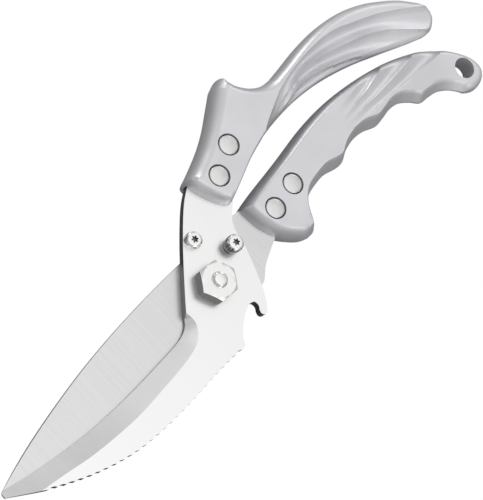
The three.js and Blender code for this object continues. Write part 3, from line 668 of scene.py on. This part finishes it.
def eased(values, reach):
    """Values round a closed outline, averaged over a number of neighbours on each side."""
    kernel = np.hanning(2 * reach + 3)
    kernel /= kernel.sum()
    padded = np.concatenate([values[-reach - 1:], values, values[:reach + 1]])
    return np.convolve(padded, kernel, "valid")


def across(plan, lines):
    """How many lines each point has passed, with a share of the next, and its share of the whole way."""
    x, y = plan.T
    places = np.array([np.interp(y, line[:, 1], line[:, 0]) for line in lines])
    places = np.maximum.accumulate(places, axis=0)
    number = np.zeros(len(plan))
    for left, right in zip(places, places[1:]):
        number += np.clip((x - left) / np.maximum(right - left, 0.05), 0, 1)
    return number, np.clip((x - places[0]) / np.maximum(places[-1] - places[0], 0.5), 0, 1)


UPPER_FLUTES = (
    ((-23.2, 47), (-24.2, 50.5), (-28, 56.9), (-31, 63.8), (-34, 71.3), (-36.1, 80.2), (-37.3, 90),
     (-37.4, 101.1), (-36.3, 109.3), (-34.1, 116.4), (-31.9, 123.6), (-29.4, 130.5), (-25.3, 139),
     (-21.9, 145.1), (-18, 152)),
    ((-23.2, 47), (-25.6, 56), (-29.4, 66), (-32, 76), (-33.4, 87.1), (-32.4, 96.5), (-30.8, 104),
     (-28.9, 111.4), (-26.9, 118.8), (-23.1, 127.5), (-19.4, 133.2), (-12.2, 143.6), (-8, 150)),
    ((-23.2, 47), (-26, 60), (-28.6, 72), (-30, 82), (-28.6, 92.6), (-26.4, 99.5), (-24.2, 106.4),
     (-21.3, 112.7), (-17, 120.8), (-10, 132)),
    ((-23, 47), (-25.6, 57), (-27, 70), (-26.9, 82), (-25.4, 94), (-22.4, 107), (-18, 120.5), (-14, 132),
     (-11.2, 141), (-10, 150)),
)
UPPER_RIDGES = [smooth(line, 0.7) for line in UPPER_FLUTES]


def upper_carve(plan):
    """Three hollows that fan out along the grip, on a face that falls away from its first ridge."""
    number, share = across(plan, UPPER_RIDGES)
    y = plan[:, 1]
    deep = 2.2 * smoothstep(y, 60, 86) * (1 - 0.4 * smoothstep(y, 110, 150))
    hollow = deep * np.sin(np.pi * (number % 1) ** 0.62)
    fall = (5.2 - 3.8 * smoothstep(y, 62, 118)) * smoothstep(y, 46, 54)
    return np.where(share > 0, hollow + fall * share**0.9, 0)


LOWER_FLUTES = (
    ((-13.2, 76), (-13.7, 81.6), (-14.3, 88.5), (-14.7, 95.3), (-15.6, 100.7), (-17, 108)),
    ((-9.9, 78), (-10.6, 87.8), (-11.2, 94.8), (-11.6, 101.6), (-12.5, 107.1), (-13.3, 112), (-16, 124)),
    ((-8, 80), (-7.9, 89.5), (-7.8, 97.5), (-7.6, 103.7), (-7.7, 110.3), (-8, 120.6), (-8.7, 129.3),
     (-10, 140)),
    ((-5, 84), (-4.5, 94.3), (-3.8, 103.1), (-3.1, 112.1), (-2.6, 121.4), (-2.4, 131.3), (-1.9, 143.1),
     (-1.6, 152)),
)
LOWER_RIDGES = [smooth(line, 0.7) for line in LOWER_FLUTES]


def lower_carve(plan):
    """Hollows that run slantwise up the grip and out over its edge."""
    number, share = across(plan, LOWER_RIDGES)
    deep = 1.4 * smoothstep(plan[:, 1], 80, 122)
    hollow = deep * np.sin(np.pi * (1 - number % 1) ** 0.7)
    return np.where((share > 0) & (share < 1), hollow, 0)


# how far in from a handle's outline its mesh has rows of points that follow the rounded wall
INSETS = (0.06, 0.25, 0.55, 0.95, 1.45, 2.0, 2.6, 3.2, 4.0, 4.8)


def handle(name, outline, labels, walls, plate, carve, ridges, holes, tang, body, node):
    """A whole cast handle. walls gives each stretch's width and how straight it leans in."""
    middle, half_plate = plate
    widths, sloping = (eased(np.array([walls[k][part] for k in labels]), 5) for part in (0, 1))

    def top(plan):
        return middle + cast_height(plan, outline, widths, sloping, carve)

    def bottom(plan):
        return middle - cast_height(plan, outline, widths, sloping, carve)

    obj = new_object(name, relief(outline, top, bottom, holes, ridges, INSETS, 0.75), HANDLE_SHARP)
    half = half_plate + PIECE_GAP
    cut_out(obj, new_object("cutter", flat_slab(np.array(tang), middle - half, middle + half)), HANDLE_SHARP)
    coat(obj, CAST)
    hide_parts(node)
    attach(obj, body)


def flat_slab(outline, low, high):
    """A flat plate with this outline between two heights."""
    outline = joined(outline)[0]
    count = len(outline)
    points = np.vstack([np.column_stack([outline, np.full(count, z)]) for z in (low, high)])
    faces = [list(range(count))[::-1], [count + k for k in range(count)]]
    faces += [[k, (k + 1) % count, count + (k + 1) % count, count + k] for k in range(count)]
    return points, faces


def upper_handle():
    """The casting with the horn, on the curved blade's tang."""
    inner = smooth([
        (-16, 26.4), (-19.2, 35), (-22.8, 45), (-25.6, 57), (-27, 70), (-26.9, 82), (-25.4, 94), (-22.4, 107),
        (-18, 120.5), (-14, 132), (-11.2, 141),
    ], 0.8)
    end = smooth([
        (-11.2, 141), (-10.9, 144), (-11.4, 147), (-14, 150.7), (-17.6, 151.6), (-22.8, 149.2),
    ], 0.5)
    outer = smooth([
        (-22.8, 149.2), (-28.4, 143.4), (-33.2, 136), (-37.2, 128), (-40.4, 117.5), (-41.8, 105),
        (-41.4, 93), (-40, 82), (-39.1, 74.5),
    ], 0.8)
    saddle = smooth([(-39.1, 74.5), (-39.7, 69), (-42.2, 64.2), (-46, 60.7), (-49, 59.4)], 0.6)
    horn = smooth([(-49, 59.4), (-51.2, 59), (-51.9, 56.8), (-50.6, 52.6)], 0.4)
    back = smooth([(-50.6, 52.6), (-46.2, 46), (-42, 39.6), (-38.2, 32.4), (-35.2, 25), (-33.2, 19.4)], 0.8)
    mouth = smooth([(-33.2, 19.4), (-32.2, 18.1), (-28.6, 18.2), (-22, 20.8), (-17, 24.2), (-16, 26.4)], 0.5)
    outline, labels = joined(inner, end, outer, saddle, horn, back, mouth)
    walls = {0: (1.5, 0.3), 1: (1.6, 0.2), 2: (3.2, 0), 3: (4.2, 0), 4: (4.6, 0), 5: (4.8, 0), 6: (2.6, 0)}
    slot = (
        (-31.4, 10), (-31.4, 27.4), (-39.4, 45.2), (-38.6, 48.1), (-32.4, 51.2), (-29.6, 50.1),
        (-20.9, 33.2), (-15.7, 27.9), (-10, 10),
    )
    plate = (UPPER_MIDDLE, (UPPER_FRONT - UPPER_BACK) / 2)
    holes = [ring(RIVET_HOLE, x, y) for x, y in UPPER_RIVETS]
    handle("upper_grip", outline, labels, walls, plate, upper_carve, UPPER_RIDGES[:3], holes, slot,
           "front_half", "front_handle")


def lower_handle():
    """The casting with finger hollows and a hanging hole, on the knife's tang."""
    side = smooth([
        (15.9, 140.6), (17.9, 145), (17.2, 150.4), (13.6, 153.8), (8, 153.4), (2, 149.6), (-3.8, 143.6),
        (-9.4, 134.4), (-14.3, 120.5), (-17.5, 104), (-18.9, 88), (-18.3, 73), (-15.8, 55), (-13.8, 38.4),
        (-12.3, 29.6),
    ], 0.8)
    mouth = smooth([
        (-12.3, 29.6), (-11.6, 28.8), (-5.7, 29.2), (0, 30.8), (5.6, 34.2), (10.8, 39.6), (12.4, 43.2),
    ], 0.6)
    guard = smooth([(12.4, 43.2), (12.2, 46.6), (9.6, 48.8), (4.6, 51.8), (1.6, 55.8), (0.5, 61)], 0.5)
    hollows = smooth([
        (0.5, 61), (0.2, 66.5), (1.6, 72.5), (1.6, 76.4), (-0.6, 81.4), (-1.6, 87.4), (-1, 93), (0.9, 98.6),
        (0.6, 103.6), (0, 108.6), (0.7, 113.6), (3.4, 118), (6.6, 121.6), (7.2, 126.4), (8.2, 131.4),
        (11.2, 136.4), (15.9, 140.6),
    ], 0.5)
    outline, labels = joined(side, mouth, guard, hollows)
    walls = {0: (2.6, 0), 1: (3.6, 0.2), 2: (3.4, 0.9), 3: (3.4, 1.0)}
    slot = (
        (-12.7, 10), (-12.7, 27), (-11.7, 34), (-12.3, 56.2), (-9.7, 58.8), (-3.1, 58.8), (-0.7, 56.2),
        (1.7, 38.1), (4.5, 32.2), (7, 10),
    )
    plate = (LOWER_MIDDLE, (LOWER_FRONT - LOWER_BACK) / 2)
    holes = [ring(RIVET_HOLE, x, y) for x, y in LOWER_RIVETS] + [ring(HANG_RADIUS, *HANG_HOLE, 60)]
    handle("lower_grip", outline, labels, walls, plate, lower_carve, LOWER_RIDGES, holes, slot,
           "rear_half", "rear_handle")


# ------------------------------------------------------------ rivets, pivot, stop and lock
def rivet(place, middle, body, half, which):
    """The plain head on the front and the slotted head on the back of one cutlery rivet."""
    x, y = place
    top, bottom = middle + HALF_CAST, middle - HALF_CAST
    pin = turned([
        (0, bottom + 2.8), (RIVET_PIN, bottom + 2.8), (RIVET_PIN, top - 1.3), (RIVET_HEAD, top - 1.3),
        (RIVET_HEAD, top - 0.5), (RIVET_HEAD - 0.1, top - 0.25), (RIVET_HEAD - 0.3, top - 0.1),
        (RIVET_HEAD - 0.6, top - 0.03), (0, top),
    ], x, y)
    piece(f"{half}_{which}_rivet_head", pin, RIVET, "polished_steel", body, f"{half}_{which}_rivet_pin")
    bore = RIVET_PIN + RIVET_PIN_GAP
    sleeve = turned([
        (0, bottom), (RIVET_HEAD - 0.4, bottom + 0.03), (RIVET_HEAD - 0.12, bottom + 0.12),
        (RIVET_HEAD, bottom + 0.3), (RIVET_HEAD, bottom + 1.3), (RIVET_TUBE, bottom + 1.3),
        (RIVET_TUBE, top - 1.4), (bore, top - 1.4), (bore, bottom + 2.5), (0, bottom + 2.5),
    ], x, y)
    obj = new_object(f"{half}_{which}_rivet_tube", sleeve)
    turn = math.radians(RIVET_SLOT_ANGLE)
    long = np.array([math.cos(turn), math.sin(turn)]) * (RIVET_HEAD - RIVET_SLOT_END)
    wide = np.array([-math.sin(turn), math.cos(turn)]) * RIVET_SLOT_HALF
    corners = np.array(place) + np.array([long + wide, -long + wide, -long - wide, long - wide])
    cut_out(obj, new_object("cutter", flat_slab(corners, bottom - 1, bottom + RIVET_SLOT_DEPTH)))
    coat(obj, RIVET)
    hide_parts(f"{half}_{which}_rivet_sleeve")
    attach(obj, body)


def nut():
    """Hex nut with a turned chamfer and painted shade on its six sides."""
    corner = NUT_FLATS / math.sqrt(3)
    spokes = ring(corner, count=6, turn=NUT_TURN)
    sides = [resample(np.array([a, b]), 0.5)[:-1] for a, b in zip(spokes, np.roll(spokes, -1, axis=0))]
    outline = np.vstack(sides)
    flat = NUT_FLATS / 2 - NUT_CHAMFER

    def top(plan):
        reach = np.linalg.norm(plan, axis=1)
        return NUT_HIGH - np.clip(reach - flat, 0, None) * math.tan(math.radians(NUT_CHAMFER_ANGLE))

    def bottom(plan):
        reach = np.linalg.norm(plan, axis=1)
        return NUT_LOW + np.clip(reach - NUT_FLATS / 2, 0, None) * 0.2

    shape = relief(outline, top, bottom, [ring(STUD_BORE)], [closed(ring(flat, count=96))], (), 0.8)
    obj = piece("hex_nut", shape, POLISHED, "polished_steel", "front_half", "pivot_nut", sharp=20)
    # painted shade on the nut's six upright sides
    paint_shade(obj, lambda centre, normal: abs(normal.z) < UPRIGHT and math.hypot(centre.x, centre.y) > 4)


def stud_tip():
    """The stud: domed two-lugged head, shank, thread and the turned-down tip above the nut."""
    low = LOWER_BACK - PIECE_GAP - HEAD_HEIGHT
    high = NUT_HIGH + STUD_RISE
    shaft = turned([
        (0, low + 0.4), (STUD_SHANK - 0.3, low + 0.4), (STUD_SHANK, low + 0.7), (STUD_SHANK, UPPER_BACK),
        (STUD_THREAD, UPPER_BACK), (STUD_THREAD, NUT_HIGH - 0.2), (STUD_TIP, NUT_HIGH),
        (STUD_TIP, high - 0.55), (STUD_TIP - 0.1, high - 0.3), (STUD_TIP - 0.35, high - 0.1),
        (STUD_TIP - 0.7, high), (0, high),
    ])
    piece("pivot_shaft", shaft, POLISHED, "polished_steel", "front_half", "pivot_stud")
    angle = math.radians(KEYHOLE_ANGLE - OPENING_ANGLE)
    spin = np.array([[math.cos(angle), math.sin(angle)], [-math.sin(angle), math.cos(angle)]])
    whole = ring(LUG_REACH, count=120)
    outline = joined(whole[np.abs(whole[:, 1]) < LUG_HALF] @ spin)[0]

    dome = 1.6

    def bottom(plan):
        return low + dome * (np.linalg.norm(plan, axis=1) / LUG_REACH) ** 3

    def top(plan):
        return np.full(len(plan), low + HEAD_HEIGHT)

    lugs = relief(outline, top, bottom, insets=(0.3,), pitch=0.8)
    piece("pivot_lugs", lugs, POLISHED, "polished_steel", "front_half")


def star_loop(x, y, size):
    """Outline of a six-lobed socket."""
    angle = 2 * math.pi * np.arange(72) / 72
    lobe = 0.24
    radius = size * (1 + lobe * np.cos(6 * angle)) / (1 + lobe)
    return np.column_stack([x + radius * np.cos(angle), y + radius * np.sin(angle)])


def lobed_screw(name, place, base, shank, body, node):
    """Screw with a raised round head, a six-lobed socket and a plain stem."""
    x, y = place
    high, rim = SCREW_HEIGHT, SCREW_HEAD
    radii = (0, rim - 0.95, rim - 0.75, rim - 0.2, rim, rim)
    heights = (high, high, high - 0.06, high - 0.55, high - 0.9, 0)
    pit = star_loop(x, y, SOCKET - SOCKET_WALL / 2)

    def top(plan):
        reach = np.hypot(plan[:, 0] - x, plan[:, 1] - y)
        height = base + np.interp(reach, radii, heights)
        return np.where(inside(plan, pit), base + high - SOCKET_DEPTH, height)

    def bottom(plan):
        return np.full(len(plan), base)

    lines = [closed(ring(radius, x, y, 64)) for radius in radii[1:4]]
    lines += [closed(star_loop(x, y, size)) for size in (SOCKET, SOCKET - SOCKET_WALL)]
    shape = relief(ring(rim, x, y, 64), top, bottom, lines=lines, pitch=0.4)
    obj = piece(name, shape, POLISHED, "polished_steel", body, node, sharp=28)
    below = base + high - 0.02
    # painted shade inside the six-lobed socket
    paint_shade(obj, lambda at, normal: at.z < below and math.hypot(at.x - x, at.y - y) < SOCKET)
    # painted shade on the side of the lock's button
    if body == "lock":
        paint_shade(obj, lambda at, normal: abs(normal.z) < UPRIGHT)
    foot = base - shank
    stem = turned([
        (0, foot), (SCREW_SHANK - 0.3, foot), (SCREW_SHANK, foot + 0.3), (SCREW_SHANK, base), (0, base),
    ], x, y, 32)
    piece(name + "_stem", stem, POLISHED, "polished_steel", body)


def stop_and_lock():
    """The stop post with its screw, and the push lock's sleeve with its button."""
    lobed_screw("stop_button_screw", STOP, UPPER_FRONT + 0.05, 5.1, "front_half", "stop_screw")
    lobed_screw("lock_button", LOCK, UPPER_FRONT + LOCK_LIFT, 3.8, "lock", "lock_screw")
    neck, bore, low, high = 2.0, SCREW_SHANK + 0.1, -2.6, UPPER_FRONT - PIECE_GAP
    post = turned([
        (0, low), (STOP_POST - 0.3, low), (STOP_POST, low + 0.3), (STOP_POST, 0.05), (neck, 0.05),
        (neck, high), (bore, high), (bore, low + 0.1), (0, low + 0.1),
    ], *STOP, 48)
    piece("stop_pin", post, POLISHED, "polished_steel", "front_half", "stop_post")
    top = UPPER_FRONT + LOCK_LIFT - 0.05
    low, rim = 1.1, 1.9
    pin = turned([
        (0, low), (LOCK_FOOT - 0.2, low), (LOCK_FOOT, low + 0.2), (LOCK_FOOT, rim), (LOCK_SLEEVE, rim),
        (LOCK_SLEEVE, top), (bore, top), (bore, low + 0.1), (0, low + 0.1),
    ], *LOCK, 48)
    # the whole lock sleeve is painted in shade, as the shadow under the button's head
    piece("lock_sleeve", pin, PAINTED_SHADE, "polished_steel", "lock", "lock_pin")


def lock_coil():
    """Small spring under the lock's head, in one fixed shape that narrows as it rises."""
    x, y = LOCK
    low, high = UPPER_FRONT + 0.33, UPPER_FRONT + LOCK_LIFT - 0.33
    share = np.linspace(0, 1, 120)
    radius = LOCK_COIL_RADIUS - LOCK_COIL_NARROWS * share
    angle = 2 * math.pi * LOCK_TURNS * share
    height = low + (high - low) * share
    path = np.column_stack([x + radius * np.cos(angle), y + radius * np.sin(angle), height])
    obj = piece("lock_coil", tube(path, LOCK_WIRE), SPRING, "spring_steel", "front_half", "lock_spring")
    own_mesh(obj)


def return_coil():
    """Flat spiral behind the curved blade, with its outer end in the blade and its inner end in the knife."""
    level = UPPER_BACK + PIECE_GAP + COIL_WIRE
    inner = KEYHOLE_ANGLE + 180
    about_turns = 1.7
    start = COIL_START + 360 * round((inner + 360 * about_turns - COIL_START) / 360)
    bend = 9  # degrees that the wire takes to run in from its outer end
    wound = start - bend - inner
    stations = [(12.1, start, level), (11.4, start - 1, level), (10.8, start - 2, level)]
    for share in np.linspace(0, 1, 150):
        turn = wound * share
        stations.append((COIL_OUTER - COIL_PITCH * turn / 360, start - bend - turn, level))
    last = COIL_OUTER - COIL_PITCH * wound / 360
    stations += [
        ((last + COIL_INNER) / 2 + 0.4, inner - 8, level), (COIL_INNER + 0.25, inner - 8, level - 0.35),
        (COIL_INNER, inner - 7, level - 1.3), (COIL_INNER, inner - 7, -1.4),
        (COIL_INNER, inner - 7, LOWER_BACK + 0.5),
    ]
    path = [(r * math.cos(math.radians(a)), r * math.sin(math.radians(a)), z) for r, a, z in stations]
    obj = piece("return_coil", tube(path, COIL_WIRE, 14), SPRING, "spring_steel", None, "return_spring")
    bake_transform(obj)


# ------------------------------------------------------------ stage
FLOOR_IN_METAL = (0.22, 0.22, 0.225)  # the floor as reflections see it


def studio():
    """White floor, a sky that is brightest overhead and three small soft lamps."""
    floor_mesh = bpy.data.meshes.new("floor")
    half = 3.0
    corners = [(-half, -half, 0), (half, -half, 0), (half, half, 0), (-half, half, 0)]
    floor_mesh.from_pydata(corners, [], [(0, 1, 2, 3)])
    floor = bpy.data.objects.new("floor", floor_mesh)
    bpy.context.scene.collection.objects.link(floor)
    floor_mesh.materials.append(floor_paper())
    bpy.context.scene.world = sky()
    lamp("side", (-0.8, 0.4, 0.2), 0.16, 1.3, (0, 0.06, 0))
    lamp("back", (-0.2, 0.8, 0.42), 0.3, 0.5, (0, 0.05, 0))
    lamp("fill", (0.7, -0.2, 0.45), 0.4, 0.8, (0, 0.02, 0))


def floor_paper():
    """A sheet that any camera sees as pure white, with no shadow, and that metal mirrors as grey."""
    paper = Nodes("paper", FLOOR_IN_METAL, 0, 0.9)
    tooth = paper.noise(paper.where, 400, 2)
    paper.ramp(tooth, [0.97 * v for v in FLOOR_IN_METAL], FLOOR_IN_METAL)
    tree = paper.tree
    glow = tree.nodes.new("ShaderNodeEmission")
    path = tree.nodes.new("ShaderNodeLightPath")
    mix = tree.nodes.new("ShaderNodeMixShader")
    tree.links.new(path.outputs["Is Camera Ray"], mix.inputs["Fac"])
    tree.links.new(paper.shader.outputs["BSDF"], mix.inputs[1])
    tree.links.new(glow.outputs["Emission"], mix.inputs[2])
    tree.links.new(mix.outputs["Shader"], tree.nodes["Material Output"].inputs["Surface"])
    return paper.material


def sky():
    """Light that is brightest overhead and falls off towards the horizon."""
    world = bpy.data.worlds.new("studio")
    world.use_nodes = True
    tree = world.node_tree
    where = tree.nodes.new("ShaderNodeTexCoord")
    split = tree.nodes.new("ShaderNodeSeparateXYZ")
    ramp = tree.nodes.new("ShaderNodeValToRGB")
    stops = ((0.0, 0.55), (0.3, 0.62), (0.5, 0.47), (0.7, 0.48), (0.82, 0.97), (1.0, 1.14))
    while len(ramp.color_ramp.elements) < len(stops):
        ramp.color_ramp.elements.new(0.5)
    for element, (place, value) in zip(ramp.color_ramp.elements, stops):
        element.position = place
        element.color = (value, value, value, 1)
    tree.links.new(where.outputs["Generated"], split.inputs["Vector"])
    tree.links.new(split.outputs["Z"], ramp.inputs["Fac"])
    tree.links.new(ramp.outputs["Color"], tree.nodes["Background"].inputs["Color"])
    tree.nodes["Background"].inputs["Strength"].default_value = 1.0
    return world


def lamp(name, place, size, power, target):
    """A square soft lamp turned towards a target."""
    light = bpy.data.lights.new(name, "AREA")
    light.shape = "SQUARE"
    light.size = size
    light.energy = power
    obj = bpy.data.objects.new(name, light)
    obj.location = place
    obj.rotation_euler = (Vector(target) - Vector(place)).to_track_quat("-Z", "Y").to_euler()
    bpy.context.scene.collection.objects.link(obj)


def camera():
    """Long lens, high over the tips and rolled so that the blades run down to the left."""
    place = Vector(PIVOT) + Vector((-35.15, -258.5, 501.0)) * MM
    aim = Vector(PIVOT) + Vector((-1.47, 19.08, 0)) * MM
    back = (place - aim).normalized()
    up = Vector((-0.7339, 0.6138, 0.2908))
    right = up.cross(back).normalized()
    up = back.cross(right)
    data = bpy.data.cameras.new("camera")
    data.lens = 116.7
    data.sensor_width = 36
    obj = bpy.data.objects.new("camera", data)
    obj.matrix_world = Matrix.Translation(place) @ Matrix((right, up, back)).transposed().to_4x4()
    bpy.context.scene.collection.objects.link(obj)
    bpy.context.scene.camera = obj


camera()
upper_blade()
lower_blade()
upper_handle()
lower_handle()
for number, word in enumerate(("far", "near")):
    rivet(UPPER_RIVETS[number], UPPER_MIDDLE, "front_half", "front", word)
    rivet(LOWER_RIVETS[number], LOWER_MIDDLE, "rear_half", "rear", word)
nut()
stud_tip()
stop_and_lock()
lock_coil()
return_coil()
coat(frame["nodes"]["pivot_bush"], POLISHED)
studio()
bpy.context.scene.view_settings.view_transform = "Standard"
